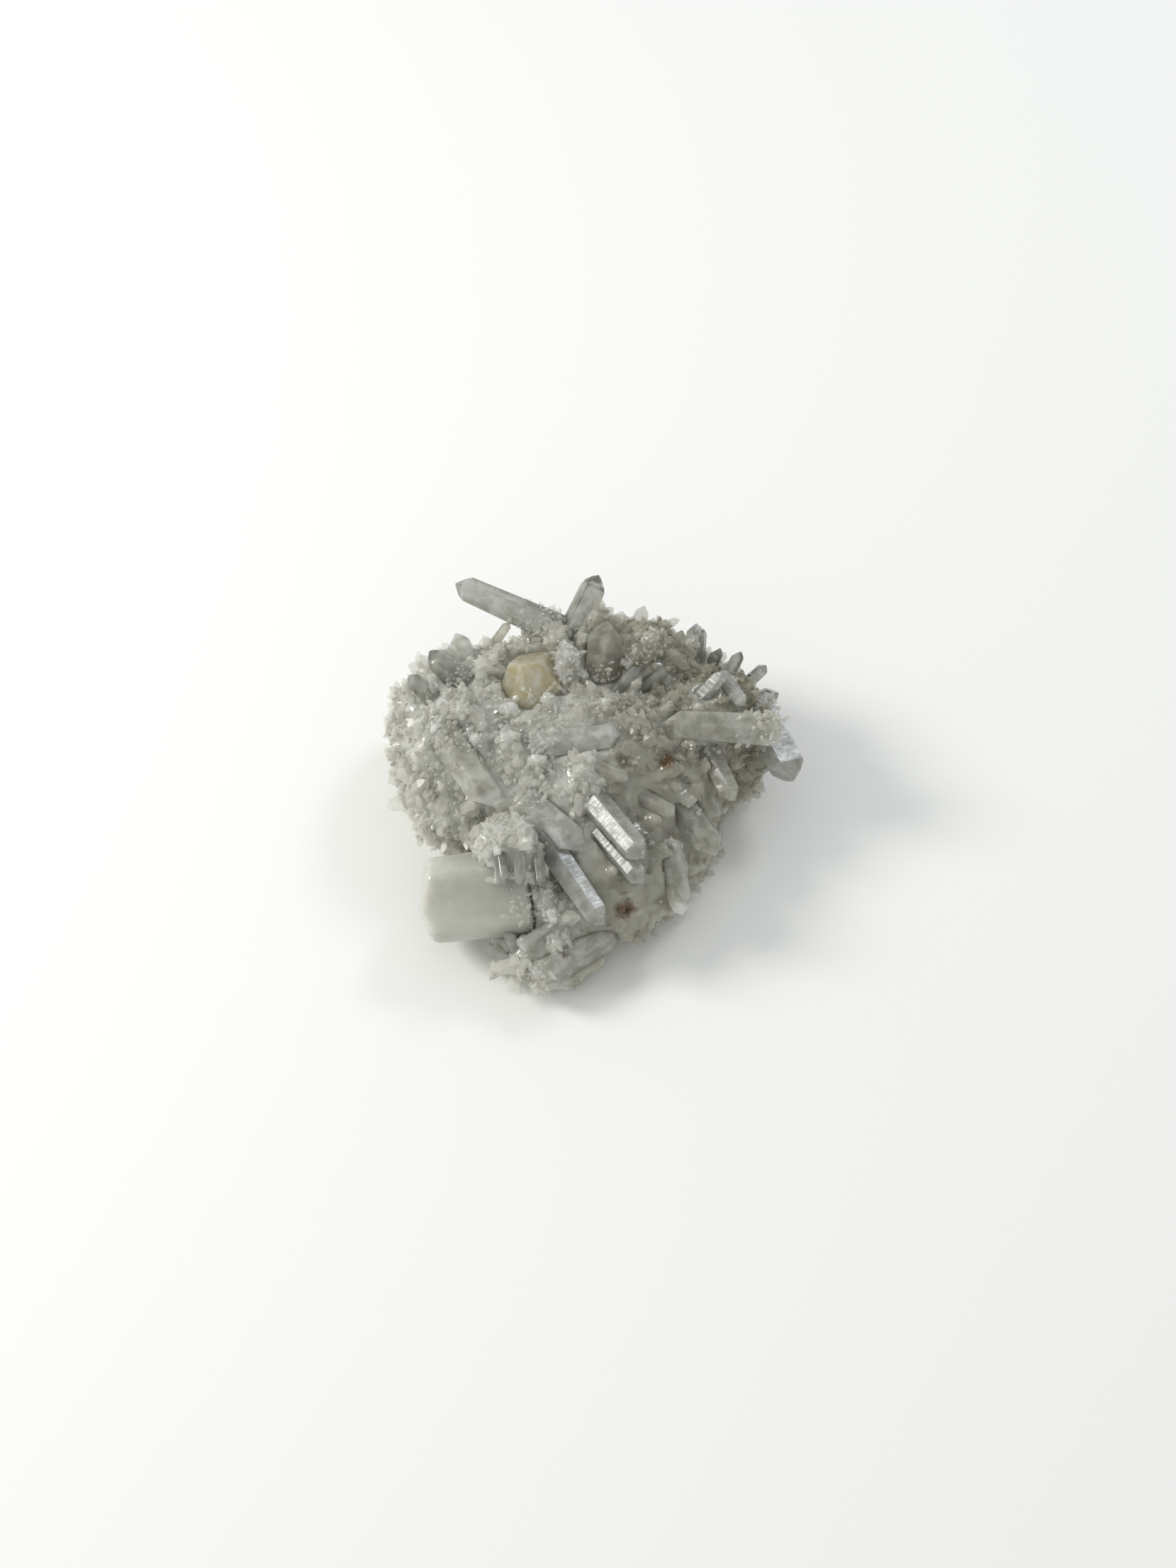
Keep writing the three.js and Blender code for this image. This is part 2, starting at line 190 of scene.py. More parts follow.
def quartz(
    name, deep, veil, clarity, depth, veil_size, roughness,
    growth_lines=0.0, etch=0.25, solid=1.0, smoky_and_shaded=None, painted_tip_highlight=False, points=False,
):
    """Quartz that light enters. It runs from its deep colour to the paler colour of its veils, whose size is
    in mm. clarity is the share of light that goes straight through, and the rest wanders in as far as depth,
    in mm. growth_lines is how strong the fine steps across the growth direction are, and etch is the same for
    the pits of the skin. What is behind it shows through quartz whose solid is under 1. The smoky-and-shaded
    colour darkens the quartz as far as its attribute says: partly smoky quartz, partly painted shade on the
    side away from the window. A painted tip highlight paints the tip of a crystal white. Small points are
    deep at the root and pale at the tip, and no two are quite alike."""
    material = bpy.data.materials.new(name)
    material.use_nodes = True
    tree = material.node_tree
    shader = tree.nodes["Principled BSDF"]
    place = add_node(tree, "ShaderNodeTexCoord").outputs["Object"]

    clouds = add_node(
        tree,
        "ShaderNodeTexNoise",
        {"Vector": place, "Scale": 1 / (veil_size * MM), "Detail": 4, "Roughness": 0.55, "Distortion": 0.4},
    ).outputs[0]
    pale = add_node(
        tree,
        "ShaderNodeMapRange",
        {"Value": clouds, "From Min": VEIL_BEGINS, "From Max": VEIL_IS_FULL},
        interpolation_type="SMOOTHSTEP",
    ).outputs[0]
    if points:
        rise = add_node(tree, "ShaderNodeAttribute", attribute_name="rise").outputs["Fac"]
        tone = add_node(tree, "ShaderNodeAttribute", attribute_name="tone").outputs["Fac"]
        both = add_node(tree, "ShaderNodeMath", {0: rise, 1: tone}, operation="ADD").outputs[0]
        added = add_node(tree, "ShaderNodeMath", {0: both, 1: pale}, operation="ADD").outputs[0]
        pale = add_node(
            tree, "ShaderNodeMapRange", {"Value": added, "From Min": POINT_DEEP, "From Max": POINT_PALE}
        ).outputs[0]

    # What lies over the deep colour, from the inside outwards: how much of it, its colour, and how it mixes.
    layers = [(pale, veil, "MIX")]
    # Darkening by the smoky-and-shaded attribute: partly smoky quartz, partly painted shade on the side away
    # from the window.
    if smoky_and_shaded:
        smoky_and_shaded_amount = add_node(tree, "ShaderNodeAttribute", attribute_name="smoky_and_shaded").outputs["Fac"]
        layers.append((smoky_and_shaded_amount, smoky_and_shaded, "MULTIPLY"))
    # A painted highlight: the tip of the crystal is painted white, where its end face is lit.
    if painted_tip_highlight:
        share = add_node(tree, "ShaderNodeAttribute", attribute_name="share").outputs["Fac"]
        tip_highlight = add_node(
            tree, "ShaderNodeMapRange", {"Value": share, "From Min": TIP_HIGHLIGHT_BEGINS, "From Max": TIP_HIGHLIGHT_IS_FULL}
        ).outputs[0]
        layers.append((tip_highlight, TIP_HIGHLIGHT_WHITE, "MIX"))
    layers.append((rust_mask(tree, place), RUST_BROWN, "MIX"))
    colour = linear(deep)
    for amount, over, way in layers:
        colour = add_node(
            tree,
            "ShaderNodeMix",
            {"Factor": amount, 6: colour, 7: linear(over)},
            data_type="RGBA",
            blend_type=way,
        ).outputs[2]
    tree.links.new(colour, shader.inputs["Base Color"])

    clear = add_node(
        tree, "ShaderNodeMapRange", {"Value": pale, "To Min": clarity, "To Max": clarity * VEIL_CLARITY}
    ).outputs[0]
    tree.links.new(clear, shader.inputs["Transmission Weight"])
    shader.inputs["IOR"].default_value = QUARTZ_IOR
    shader.inputs["Alpha"].default_value = solid
    shader.inputs["Subsurface Weight"].default_value = 1.0
    shader.inputs["Subsurface Radius"].default_value = SCATTER_RADIUS
    shader.inputs["Subsurface Scale"].default_value = depth * MM

    skin = add_node(
        tree, "ShaderNodeTexNoise", {"Vector": place, "Scale": 1 / ETCH_SIZE, "Detail": 4}
    ).outputs[0]
    rough = add_node(
        tree,
        "ShaderNodeMapRange",
        {"Value": skin, "From Min": SKIN_LOW, "From Max": SKIN_HIGH,
         "To Min": roughness * (1 - ROUGHNESS_SPREAD), "To Max": roughness * (1 + ROUGHNESS_SPREAD)},
    ).outputs[0]
    tree.links.new(rough, shader.inputs["Roughness"])
    bump = add_node(tree, "ShaderNodeBump", {"Height": skin, "Strength": etch, "Distance": ETCH_DEPTH})
    if growth_lines:
        along = add_node(tree, "ShaderNodeAttribute", attribute_name="growth").outputs["Fac"]
        wobble = add_node(
            tree, "ShaderNodeTexNoise", {"Vector": place, "Scale": 1 / GROWTH_WOBBLE, "Detail": 2}
        ).outputs[0]
        step = add_node(
            tree, "ShaderNodeMath", {0: along, 1: 1 / GROWTH_STEP, 2: wobble}, operation="MULTIPLY_ADD"
        ).outputs[0]
        lines = add_node(
            tree, "ShaderNodeTexNoise", {"W": step, "Scale": 1.0, "Detail": 4}, noise_dimensions="1D"
        ).outputs[0]
        bump = add_node(
            tree,
            "ShaderNodeBump",
            {"Height": lines, "Strength": growth_lines, "Distance": GROWTH_STEP_DEPTH,
             "Normal": bump.outputs[0]},
        )
    tree.links.new(bump.outputs[0], shader.inputs["Normal"])
    return material


FINISHES = {
    # Massive milky quartz under the druse: cloudy, grey-green where it is deep, paler towards the skin. Its
    # smoky-and-shaded colour is partly smoke and partly painted shade on the right and the bare front walls.
    "matrix_quartz": quartz(
        "massive_milky_quartz", "#b4b3aa", "#d2d2cb", 0.0, 9, 4, 0.1, etch=0.5, smoky_and_shaded="#cfcdc5"
    ),
    # Milky quartz: light goes a few millimetres in and comes back soft, so no edge inside it is sharp.
    "milky_quartz": quartz(
        "milky_quartz", "#adada3", "#c2c2b9", 0.0, 7, 10, 0.2, growth_lines=0.08, etch=0.12
    ),
    # Rock crystal: glassy skin over a grey depth with faint clouds.
    "clear_quartz": quartz("rock_crystal", "#a1a197", "#c9cac3", 0.75, 6, 4, 0.05, growth_lines=0.35),
    # Smoky quartz: the same glassy skin over a brown-grey depth.
    "smoky_quartz": quartz(
        "pale_smoky_quartz", "#c2beac", "#dddacd", 0.75, 6, 4, 0.06, growth_lines=0.3, etch=0.4
    ),
    # Milky quartz with a yellow iron stain inside it.
    "stained_quartz": quartz(
        "iron_stained_milky_quartz", "#d9cca3", "#ebe7d8", 0.45, 5, 3, 0.08, etch=0.9, solid=0.82
    ),
}
# Rock crystal with fine steps across its faces, which spread a highlight into a bright silky sheet.
STRIATED = quartz(
    "striated_rock_crystal", "#b4b6ad", "#c8c9c3", 0.6, 7, 3, 0.24, growth_lines=0.8, etch=0.4
)
# Cloudy quartz: half clear, with thick pale veils and an etched skin that breaks every highlight up.
CLOUDY = quartz(
    "cloudy_quartz", "#cbc9be", "#efefe9", 0.5, 5, 2.5, 0.1, growth_lines=0.25, etch=0.8, solid=0.78
)
# Crystals that lie half drowned in the matrix: as cloudy as it is and not wholly solid to the eye. Their
# darker colour is partly their depth and partly painted shade of the right side, away from the window.
DROWNED_AND_SHADED = quartz(
    "drowned_quartz_painted_shade", "#b0aea1", "#d9d8cf", 0.4, 6, 3, 0.08, growth_lines=0.25, etch=0.7, solid=0.6
)
# Cloudy crystals whose tips are painted white: a painted highlight where a lit end face shines.
PAINTED_TIP_CLOUDY = quartz(
    "cloudy_quartz_painted_tip_highlight", "#b3b1a5", "#d8d7ce", 0.3, 5, 3, 0.1,
    growth_lines=0.25, etch=0.8, solid=0.7, painted_tip_highlight=True,
)
# The druse: sugary quartz, pale and clear at the tips, that glints wherever a small face catches the light.
DRUSE = quartz(
    "druse_quartz", "#d9d7cc", "#e9e8e1", 0.0, 0.8, 8, 0.07,
    etch=0.05, solid=0.33, smoky_and_shaded="#d2cfc3", points=True,
)
# The brightest small points, which glint like broken glass.
GLINTS = quartz(
    "glinting_druse_quartz", "#dcdbd2", "#eeeeea", 0.6, 0.8, 8, 0.02,
    etch=0.0, smoky_and_shaded="#d2cfc3", points=True,
)
# Points that later quartz has grown over, so that only their outlines show.
GHOSTS = quartz(
    "overgrown_quartz", "#bab9b0", "#cfcec8", 0.0, 3, 8, 0.05,
    etch=0.1, solid=0.3, smoky_and_shaded="#dcdad4", points=True,
)
# The crystals that differ from the usual finish of their slot.
OWN_FINISHES = {
    node: finish
    for finish, nodes in (
        (STRIATED, ("bright_twin_upper", "bright_twin_lower", "right_twin")),
        (STRIATED, ("shoulder_lath_upper", "shoulder_lath_lower", "lower_long")),
        (CLOUDY, ("centre_milky", "centre_fat", "crusted_spire", "left_crest_block")),
        (CLOUDY, ("toe_long", "toe_slim_point", "toe_dark_tip", "toe_up_point")),
        (DROWNED_AND_SHADED, ("right_long", "right_shadow_block", "right_shadow_point", "right_low_point")),
        (DROWNED_AND_SHADED, ("mid_flat_point",)),
        (PAINTED_TIP_CLOUDY, ("left_milky_long", "front_right_stalk")),
    )
    for node in nodes
}


# ---- large crystals ----
SOFTENED = {"milky_block": (0.7, 30), "amber_block": (0.45, 5)}  # voxel size, mm, and smoothing passes
EDGE_ROUNDING = 0.35 * MM
LEAST_EDGE = math.radians(12)  # faces that turn less than this from each other have no edge to round


def growth_axis(mesh):
    """The direction that a crystal grew in: the one that its faces turn away from most, from its root face to
    its tip."""
    spread = np.zeros((3, 3))
    for face in mesh.polygons:
        normal = np.array(face.normal)
        spread += face.area * np.outer(normal, normal)
    axis = Vector(np.linalg.eigh(spread)[1][:, 0])
    lean = sum(face.area * face.normal.dot(axis) ** 3 for face in mesh.polygons)
    return axis if lean < 0 else -axis


def distance_along(mesh, axis):
    """How far along the axis each vertex is."""
    return np.array([v.co.dot(axis) for v in mesh.vertices])


def share_of_length(along):
    """The same distances as shares: 0 at the root and 1 at the tip."""
    return (along - along.min()) / (along.max() - along.min())


def large_crystal(node, slot):
    """A CAD node's crystal with soft edges. Its growth and share attributes say how far along a vertex is."""
    mesh = merged(node)
    axis = growth_axis(mesh)
    if node in SOFTENED:
        voxel, passes = SOFTENED[node]
        mesh = modified(mesh, "REMESH", mode="VOXEL", voxel_size=voxel * MM)
        mesh = modified(mesh, "SMOOTH", factor=0.5, iterations=passes)
        mesh.shade_smooth()
    else:
        mesh = modified(
            mesh, "BEVEL", width=EDGE_ROUNDING, segments=2, limit_method="ANGLE", angle_limit=LEAST_EDGE
        )
    along = distance_along(mesh, axis)
    store(mesh, "growth", along)
    store(mesh, "share", share_of_length(along))
    return object_of("crystal_" + node, mesh, OWN_FINISHES.get(node, FINISHES[slot]))


slots = {entry["node"]: entry["material_slot"] for entry in frame["record"]["subparts"]}
crystals = {node: large_crystal(node, slot) for node, slot in slots.items() if node != "matrix"}

# ---- the matrix ----
ROCK_GRAIN = 0.8 * MM
ROOM_FOR_CRYSTALS = 1.0 * MM  # how far chips and druse keep from a large crystal
ROOM_BLUR = 2 * MM
SOCKET_GAP = 0.3 * MM
ROCK_BUMPS = ((5, 0.4), (2, 0.25), (1, 0.12))  # each bump's size and height, mm
BUMPS_LOST = 0.6  # the share of the bumps that the bare side has lost
CHIP_SIZE = 6 * MM
CHIP_TILT = 0.4
noise.seed_set(7)  # noise_vector, which chips lean by, otherwise starts from the clock
SMOOTHING_PASSES = 20
# How far one pass draws a vertex to its neighbours, and how much further on the bare side.
SMOOTHING, BARE_SMOOTHING = 0.12, 0.48
# Where the matrix stands higher: the back rim beside the crystal that leans out over it, and the root of the
# milky block. Each swelling's middle, reach and height, mm.
SWELLINGS = [((-18, 27, 29), 8, 7), ((-10.5, -30, 14), 6.5, 6)]
LEAST_SWELLING = 0.5  # the share of a swelling that is left against a crystal
# The bare side lies right of a line that slants and in front of another line, both blurred. In mm.
BARE_FROM_X, BARE_UP_TO_Y, BARE_BLUR = 2, 4, 6
BARE_SLANT = 0.25  # how much further right the first line is for each mm towards the back
# How dark the quartz is made in the middle, and how much darker on the bare side: partly smoke, partly
# painted shade.
SMOKY_SHADE_IN_MIDDLE, SMOKY_SHADE_ON_BARE_SIDE = 0.2, 0.9
# How far right, how far back and, on the bare side, how far forwards the darkening grows by one. To the
# right and on the bare side it is partly painted shade, away from the window.
SMOKY_SHADE_RIGHT, SMOKY_SHADE_BACK, SMOKY_SHADE_FORWARDS = 50 * MM, 70 * MM, 60 * MM


def bare_side(place):
    """How bare a place is: 1 on the broken side towards the front right, 0 where sugary druse covers it."""
    right_of = (place.x - BARE_SLANT * place.y) / MM - BARE_FROM_X
    in_front = BARE_UP_TO_Y - place.y / MM
    return held(right_of / BARE_BLUR) * held(in_front / BARE_BLUR)


def smoky_and_shaded_amount(place, bare):
    """How dark the quartz is made: more towards the right and back, and on the bare side towards the front.
    It is partly smoky quartz and partly painted shade on the right and on the bare front walls, away from
    the window.
    """
    everywhere = SMOKY_SHADE_IN_MIDDLE + place.x / SMOKY_SHADE_RIGHT + place.y / SMOKY_SHADE_BACK
    return held(everywhere + SMOKY_SHADE_ON_BARE_SIDE * bare - place.y / SMOKY_SHADE_FORWARDS * bare)


def clearance(vertices):
    """How far each vertex is from the nearest large crystal."""
    bm = bmesh.new()
    for piece in crystals.values():
        bm.from_mesh(piece.data)
    solids = BVHTree.FromBMesh(bm)
    bm.free()
    return np.array([solids.find_nearest(v.co)[3] for v in vertices])


def smoothed(points, edges, weights, passes):
    """Draws every point towards the middle of its neighbours, as far as its weight says."""
    count = np.bincount(edges.ravel(), minlength=len(points))[:, None]
    for _ in range(passes):
        total = np.zeros_like(points)
        np.add.at(total, edges[:, 0], points[edges[:, 1]])
        np.add.at(total, edges[:, 1], points[edges[:, 0]])
        points = points + weights[:, None] * (total / count - points)
    return points


def bumps(place):
    """Rounded bumps of a few sizes."""
    return sum(height * noise.noise(place / (size * MM)) for size, height in ROCK_BUMPS) * MM


def chip(place):
    """Flat chips that each lean their own way."""
    centre = noise.voronoi(place / CHIP_SIZE)[1][0] * CHIP_SIZE
    return (place - centre).dot(noise.noise_vector(centre / MM)) * CHIP_TILT


def swelling(place):
    """How much higher the matrix stands at a place."""
    rise = 0.0
    for middle, reach, height in SWELLINGS:
        away = (place / MM - Vector(middle)).length / reach
        rise += height * MM * held(1 - away * away) ** 1.5
    return rise


def matrix_rock():
    """The matrix as one rough skin: the CAD solid, grown by the socket gap so that it grips every crystal."""
    made = modified(merged("matrix"), "REMESH", mode="VOXEL", voxel_size=ROCK_GRAIN)
    places = np.empty(len(made.vertices) * 3)
    made.vertices.foreach_get("co", places)
    edges = np.empty(len(made.edges) * 2, np.int64)
    made.edges.foreach_get("vertices", edges)
    free = np.clip((clearance(made.vertices) - ROOM_FOR_CRYSTALS) / ROOM_BLUR, 0, 1)
    bare = np.array([bare_side(v.co) for v in made.vertices])
    weights = free * (SMOOTHING + BARE_SMOOTHING * bare)
    places = smoothed(places.reshape(-1, 3), edges.reshape(-1, 2), weights, SMOOTHING_PASSES)
    made.vertices.foreach_set("co", places.ravel())
    made.update()
    normals = [v.normal.copy() for v in made.vertices]
    for vertex, normal, room, smooth in zip(made.vertices, normals, free, bare):
        place = vertex.co.copy()
        rough = bumps(place) * (1 - BUMPS_LOST * smooth)
        place += normal * (SOCKET_GAP + rough + chip(vertex.co) * smooth * room)
        place.z = max(place.z + swelling(vertex.co) * max(room, LEAST_SWELLING), 0.0)
        vertex.co = place
    # How dark the quartz is made: partly smoke, partly painted shade on the right and the bare front walls.
    store(made, "smoky_and_shaded", [smoky_and_shaded_amount(v.co, b) for v, b in zip(made.vertices, bare)])
    made.shade_smooth()
    made.update()
    return made


rock_mesh = matrix_rock()
rock = object_of("matrix_rock", rock_mesh, FINISHES["matrix_quartz"])


# ---- druse ----
POINT_KINDS = 6
# Heights on a small point that is 1 wide: its root, its highest apex, and the top of the uncut prism.
POINT_ROOT, POINT_APEX, UNCUT_TOP = -0.2, 1.5, 2.0
RISE_LENGTH = 1.6  # how far above the root the rise attribute reaches 1
# How far below the apex a large and a small tip face cut the axis: the least, and the most that chance adds.
LARGE_FACE_DROP = (0.12, 0.25)
SMALL_FACE_DROP = (0.02, 0.12)
TRIES = 4.0  # points tried on each square of the spacing, before those that stand too close are taken out
SMALLNESS = 2.2  # the higher it is, the more of the points are small
SHORTEST = 0.7  # the length of the stumpiest point, as a multiple of its width


def tip_crystal(name, seed):
    """One small quartz point, 1 m wide: six prism faces, and three large and three small faces at the tip.
    Its rise attribute runs from 0 at the root to 1 at the apex."""
    chance = random.Random(seed)
    bm = bmesh.new()
    corners = [math.radians(60 * i + 30) for i in range(6)]
    radius = 1 / math.sqrt(3)
    low, high = (
        [bm.verts.new((radius * math.cos(a), radius * math.sin(a), height)) for a in corners]
        for height in (POINT_ROOT, UNCUT_TOP)
    )
    bm.faces.new(reversed(low))
    bm.faces.new(high)
    for i in range(6):
        j = (i + 1) % 6
        bm.faces.new((low[i], low[j], high[j], high[i]))
    for i in range(6):
        angle = math.radians(60 * i)
        outward = Vector((math.cos(angle), math.sin(angle), 0)) * math.sin(RHOMB_NORMAL)
        outward.z = math.cos(RHOMB_NORMAL)
        least, more = SMALL_FACE_DROP if i % 2 else LARGE_FACE_DROP
        cut = (0, 0, POINT_APEX - (least + more * chance.random()))
        whole = bm.verts[:] + bm.edges[:] + bm.faces[:]
        bmesh.ops.bisect_plane(bm, geom=whole, plane_co=cut, plane_no=outward, clear_outer=True)
        rim = [e for e in bm.edges if len(e.link_faces) == 1]
        if rim:
            bmesh.ops.contextual_create(bm, geom=rim)
    bmesh.ops.recalc_face_normals(bm, faces=bm.faces)
    mesh = bpy.data.meshes.new(name)
    bm.to_mesh(mesh)
    bm.free()
    store(mesh, "rise", [held((v.co.z - POINT_ROOT) / RISE_LENGTH) for v in mesh.vertices])
    return bpy.data.objects.new(name, mesh)


def druse_tree(kinds, material):
    """Geometry nodes that grow small points out of a surface, as thickly as its cover attribute says."""
    tree = bpy.data.node_groups.new("druse", "GeometryNodeTree")
    for name, kind, value in (
        ("Geometry", "NodeSocketGeometry", None),
        ("Spacing", "NodeSocketFloat", 2 * MM),
        ("Narrowest", "NodeSocketFloat", 1 * MM),
        ("Widest", "NodeSocketFloat", 2 * MM),
        ("Slimmest", "NodeSocketFloat", 1.7),
        ("Tilt", "NodeSocketFloat", 0.8),
        ("Seed", "NodeSocketInt", 1),
    ):
        socket = tree.interface.new_socket(name, in_out="INPUT", socket_type=kind)
        if value is not None:
            socket.default_value = value
    tree.interface.new_socket("Geometry", in_out="OUTPUT", socket_type="NodeSocketGeometry")
    given = add_node(tree, "NodeGroupInput").outputs
    cover = add_node(
        tree, "GeometryNodeInputNamedAttribute", {"Name": "cover"}, data_type="FLOAT"
    ).outputs[0]
    per_area = add_node(
        tree, "ShaderNodeMath", {0: given["Spacing"], 1: -2.0}, operation="POWER"
    ).outputs[0]
    densest = add_node(tree, "ShaderNodeMath", {0: per_area, 1: TRIES}, operation="MULTIPLY").outputs[0]
    scatter = add_node(
        tree,
        "GeometryNodeDistributePointsOnFaces",
        {"Mesh": given["Geometry"], "Distance Min": given["Spacing"], "Density Max": densest,
         "Density Factor": cover, "Seed": given["Seed"]},
        distribute_method="POISSON",
    )

    def chance(kind, low, high, offset):
        """A random value for each point. Either end is a number or another node's output. Every use has an
        offset of its own, so that no two draw the same values."""
        seed = add_node(
            tree, "ShaderNodeMath", {0: given["Seed"], 1: float(offset)}, operation="ADD"
        ).outputs[0]
        made = add_node(tree, "FunctionNodeRandomValue", {"Seed": seed}, data_type=kind)
        for socket, end in zip([s for s in made.inputs if s.enabled], (low, high)):
            if isinstance(end, bpy.types.NodeSocket):
                tree.links.new(end, socket)
            else:
                socket.default_value = end
        return next(s for s in made.outputs if s.enabled)

    anyway = chance("FLOAT_VECTOR", (-1, -1, -1), (1, 1, 1), 11)
    lean = add_node(
        tree, "ShaderNodeVectorMath", {0: anyway, "Scale": given["Tilt"]}, operation="SCALE"
    ).outputs[0]
    away = add_node(
        tree, "ShaderNodeVectorMath", {0: scatter.outputs["Normal"], 1: lean}, operation="ADD"
    ).outputs[0]
    aim = add_node(tree, "FunctionNodeAlignRotationToVector", {"Vector": away}, axis="Z").outputs[0]
    turn = add_node(tree, "ShaderNodeCombineXYZ", {"Z": chance("FLOAT", 0.0, 2 * math.pi, 23)}).outputs[0]
    aim = add_node(
        tree, "FunctionNodeRotateRotation", {"Rotation": aim, "Rotate By": turn}, rotation_space="LOCAL"
    ).outputs[0]
    size = chance("FLOAT", 0.0, 1.0, 37)
    small = add_node(tree, "ShaderNodeMath", {0: size, 1: SMALLNESS}, operation="POWER").outputs[0]
    width = add_node(
        tree,
        "ShaderNodeMapRange",
        {"Value": small, "To Min": given["Narrowest"], "To Max": given["Widest"]},
    ).outputs[0]
    slimness = chance("FLOAT", SHORTEST, given["Slimmest"], 41)
    length = add_node(tree, "ShaderNodeMath", {0: width, 1: slimness}, operation="MULTIPLY").outputs[0]
    scale = add_node(tree, "ShaderNodeCombineXYZ", {"X": width, "Y": width, "Z": length}).outputs[0]
    points = add_node(
        tree,
        "GeometryNodeCollectionInfo",
        {"Collection": kinds, "Separate Children": True, "Reset Children": True},
    ).outputs[0]
    grown = add_node(
        tree,
        "GeometryNodeInstanceOnPoints",
        {"Points": scatter.outputs["Points"], "Instance": points, "Pick Instance": True, "Rotation": aim,
         "Scale": scale},
    ).outputs[0]
    toned = add_node(
        tree,
        "GeometryNodeStoreNamedAttribute",
        {"Geometry": grown, "Name": "tone", "Value": chance("FLOAT", 0.0, 1.0, 53)},
        data_type="FLOAT",
        domain="INSTANCE",
    ).outputs[0]
    solid = add_node(tree, "GeometryNodeRealizeInstances", {"Geometry": toned}).outputs[0]
    finished = add_node(
        tree, "GeometryNodeSetMaterial", {"Geometry": solid, "Material": material}
    ).outputs[0]
    add_node(tree, "NodeGroupOutput", {"Geometry": finished})
    return tree


def grow_druse(name, surface, tree, **sizes):
    """The small points that a surface mesh bears, as one plain mesh."""
    holder = object_of(name, surface)
    grower = holder.modifiers.new("druse", "NODES")
    grower.node_group = tree
    for socket in tree.interface.items_tree:
        size = sizes.get(socket.name.lower())
        if socket.in_out == "INPUT" and size is not None:
            grower[socket.identifier] = size
    mesh = evaluated(holder)
    holder.modifiers.remove(grower)
    holder.data = mesh
    return holder


BARE_RIM = 3.5 * MM  # how high above the resting face druse begins
GHOST_RIM = 4 * MM
# The lowest upward part of a surface's normal on which each kind of point still grows.
LOWEST_DRUSE, LOWEST_GLINT, LOWEST_CRUST = -0.55, -0.3, -0.4
PATCH_SIZE = 9 * MM
PATCH_COVER, PATCH_CONTRAST = 0.8, 0.5
# What the bare side has lost of its druse and of its glints, and how much of it bears overgrown points.
DRUSE_LOST, GLINTS_LOST, GHOST_COVER = 0.93, 0.9, 0.6


def cover_of_druse(place, normal):
    """How thickly druse grows: none near the resting face or below an overhang, little on the bare side."""
    if place.z < BARE_RIM or normal.z < LOWEST_DRUSE:
        return 0.0
    patches = PATCH_COVER + PATCH_CONTRAST * noise.noise(place / PATCH_SIZE)
    return held(held(patches) * (1 - DRUSE_LOST * bare_side(place)))


def cover_of_glints(place, normal):
    """The same for the brightest points, some of which stand on the bare side too."""
    if place.z < BARE_RIM or normal.z < LOWEST_GLINT:
        return 0.0
    return 1 - GLINTS_LOST * bare_side(place)


def cover_of_ghosts(place, normal):
    """The same for the overgrown points, which only the bare side has."""
    return GHOST_COVER * bare_side(place) if place.z > GHOST_RIM else 0.0


def rock_with_cover(amount):
    """A copy of the matrix that bears a cover attribute, with none where a large crystal is in the way."""
    made = rock_mesh.copy()
    free = clearance(made.vertices) > ROOM_FOR_CRYSTALS
    store(made, "cover", [amount(v.co, v.normal) if f else 0.0 for v, f in zip(made.vertices, free)])
    return made


# The share of a crystal's length, from its root, that druse has crusted over.
CRUSTED = {
    "left_milky_long": 0.45, "centre_milky": 0.35, "centre_fat": 0.25, "crusted_spire": 1.2,
    "amber_block": 0.3, "ridge_smoky_block": 0.35, "ridge_slanted": 1.0, "lower_long": 0.15,
    "toe_long": 0.3, "back_left_long": 0.38, "back_right_point": 0.35, "milky_block": 0.2,
    "left_crest_block": 0.3, "left_stub_upper": 0.4, "left_stub_lower": 0.3, "ridge_clear_point": 0.3,
    "bright_twin_upper": 0.08, "right_shadow_point": 0.3, "right_long": 0.3, "front_right_stalk": 0.3,
    "right_shadow_block": 0.3, "right_twin": 0.2,
}
CRUST_GRAIN = 0.7 * MM
# The edge of a crust: how far it wanders, as a share of the crystal's length, over what distance, and how
# sharp it is.
CRUST_WANDER, CRUST_WANDER_SIZE, CRUST_SHARPNESS = 0.35, 3 * MM, 6


def crusted_surface():
    """The root ends of the crusted crystals as one finely divided surface that bears a cover attribute."""
    bm = bmesh.new()
    cover = []
    for node, crusted in CRUSTED.items():
        fine = modified(crystals[node].data.copy(), "REMESH", mode="VOXEL", voxel_size=CRUST_GRAIN)
        shares = share_of_length(distance_along(fine, growth_axis(merged(node))))
        for share, vertex in zip(shares, fine.vertices):
            ragged = CRUST_WANDER * noise.noise(vertex.co / CRUST_WANDER_SIZE)
            amount = held((crusted + ragged - share) * CRUST_SHARPNESS)
            cover.append(amount if vertex.normal.z > LOWEST_CRUST else 0.0)
        bm.from_mesh(fine)
    mesh = bpy.data.meshes.new("crusted_surface")
    bm.to_mesh(mesh)
    bm.free()
    store(mesh, "cover", cover)
    return mesh


kinds = bpy.data.collections.new("point_kinds")
for index in range(POINT_KINDS):
    kinds.objects.link(tip_crystal(f"point_kind_{index}", index))
sugar, glints, ghosts = (druse_tree(kinds, finish) for finish in (DRUSE, GLINTS, GHOSTS))
sugared_rock, glinting_rock, bare_rock = (
    rock_with_cover(amount) for amount in (cover_of_druse, cover_of_glints, cover_of_ghosts)
)
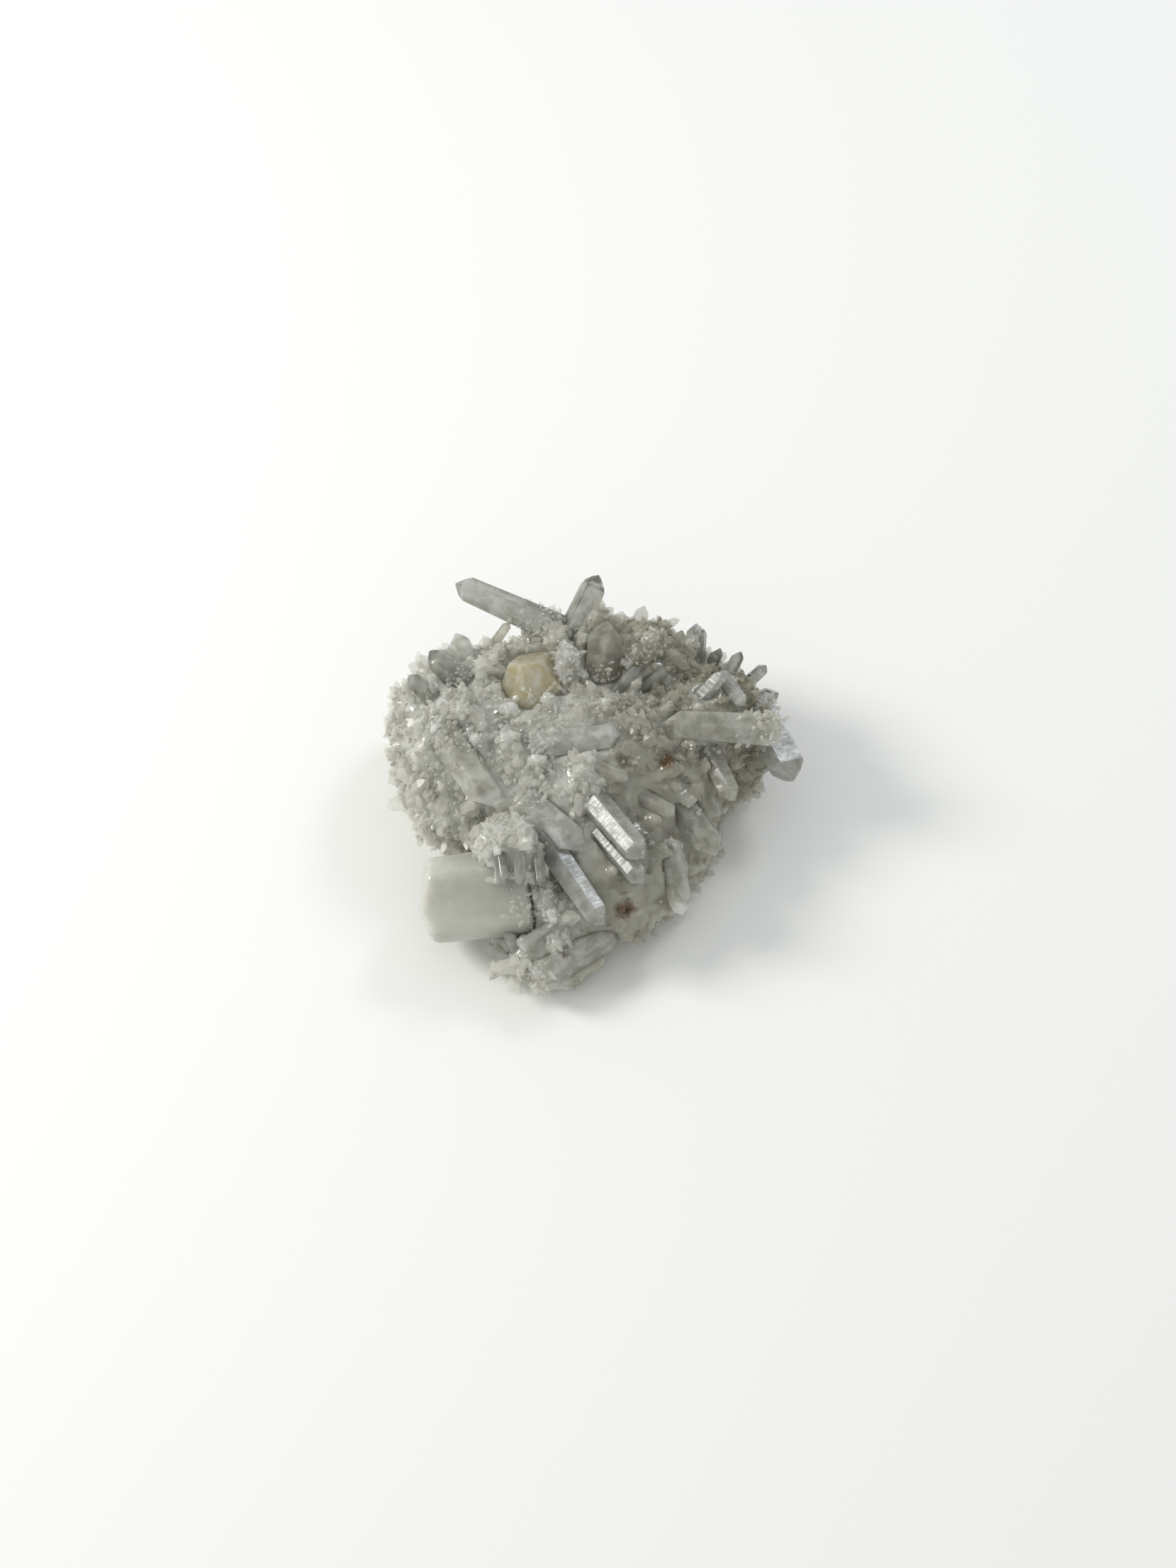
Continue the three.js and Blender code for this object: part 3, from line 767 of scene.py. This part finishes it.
# Each layer's name, surface and tree, the spacing, least and greatest width of its points in mm, the length
# of its slimmest point for a width of 1, how far its points tilt, and its seed.
DRUSE_LAYERS = (
    ("druse_coarse", sugared_rock, sugar, 3.0, 1.3, 3.4, 1.5, 0.8, 3),
    ("druse_medium", sugared_rock, sugar, 1.4, 0.8, 2.0, 1.6, 0.9, 5),
    ("druse_fine", sugared_rock, sugar, 1.1, 0.4, 0.9, 1.9, 0.9, 8),
    ("druse_crust", crusted_surface(), sugar, 0.9, 0.35, 1.1, 2.0, 1.1, 13),
    ("druse_glints", glinting_rock, glints, 1.6, 0.4, 1.0, 2.0, 1.1, 21),
    ("overgrown_points", bare_rock, ghosts, 2.8, 1.2, 3.0, 1.6, 1.5, 34),
)
druse = []
for name, surface, tree, spacing, narrowest, widest, slimmest, tilt, seed in DRUSE_LAYERS:
    sizes = {"spacing": spacing * MM, "narrowest": narrowest * MM, "widest": widest * MM}
    druse.append(grow_druse(name, surface, tree, **sizes, slimmest=slimmest, tilt=tilt, seed=seed))

# ---- what rides on the frame ----
for node, piece in crystals.items():
    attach(piece, "root")
    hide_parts(node)
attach(rock, "root")
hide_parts("matrix")
for piece in druse:
    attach(piece, "root")

# ---- floor, light and camera ----
FLOOR_SIDE = 4.0
PAPER_WHITE = "#f4f4f2"
SURROUND_GREY = "#eef0ee"
SURROUND_STRENGTH = 0.7
CAMERA_RISE = math.radians(55)
CAMERA_DISTANCE = 0.482
LOOK_AT = Vector((-0.0010, -0.0005, 0.020))
LENS = 50  # mm
SENSOR_HEIGHT = 36  # mm


def floor_mesh():
    mesh = bpy.data.meshes.new("floor")
    half = FLOOR_SIDE / 2
    corners = [(-half, -half, 0), (half, -half, 0), (half, half, 0), (-half, half, 0)]
    mesh.from_pydata(corners, [], [(0, 1, 2, 3)])
    return mesh


def soft_light(name, place, target, across, watts, colour):
    """A round soft light that shines from its place towards its target."""
    data = bpy.data.lights.new(name, "AREA")
    data.shape = "DISK"
    data.size = across
    data.energy = watts
    data.color = linear(colour)[:3]
    made = bpy.data.objects.new(name, data)
    bpy.context.scene.collection.objects.link(made)
    made.location = place
    made.rotation_euler = (Vector(target) - Vector(place)).to_track_quat("-Z", "Y").to_euler()


# Matt white paper: an even, dull white with no gloss of its own.
paper = bpy.data.materials.new("matt_white_paper")
paper.use_nodes = True
paper_shader = paper.node_tree.nodes["Principled BSDF"]
paper_shader.inputs["Base Color"].default_value = linear(PAPER_WHITE)
paper_shader.inputs["Roughness"].default_value = 0.9
object_of("floor", floor_mesh(), paper)

soft_light("window", (-0.75, 0.1, 0.55), (0, 0, 0.02), across=0.32, watts=5.0, colour="#fffef9")
# The flat faces at the right edge mirror this one.
soft_light("sky", (0.50, 0.54, 0.73), (0.03, 0, 0.02), across=0.25, watts=1.9, colour="#eef3ff")

world = bpy.data.worlds.new("studio")
world.use_nodes = True
surround = world.node_tree.nodes["Background"]
surround.inputs["Color"].default_value = linear(SURROUND_GREY)
surround.inputs["Strength"].default_value = SURROUND_STRENGTH
bpy.context.scene.world = world

camera_data = bpy.data.cameras.new("camera")
camera_data.lens = LENS
camera_data.sensor_fit = "VERTICAL"
camera_data.sensor_height = SENSOR_HEIGHT
camera = bpy.data.objects.new("camera", camera_data)
bpy.context.scene.collection.objects.link(camera)
camera.location = LOOK_AT + CAMERA_DISTANCE * Vector((0, -math.cos(CAMERA_RISE), math.sin(CAMERA_RISE)))
camera.rotation_euler = (math.radians(90) - CAMERA_RISE, 0, 0)
bpy.context.scene.camera = camera

bpy.context.scene.view_settings.view_transform = "Standard"
bpy.context.scene.cycles.use_denoising = True
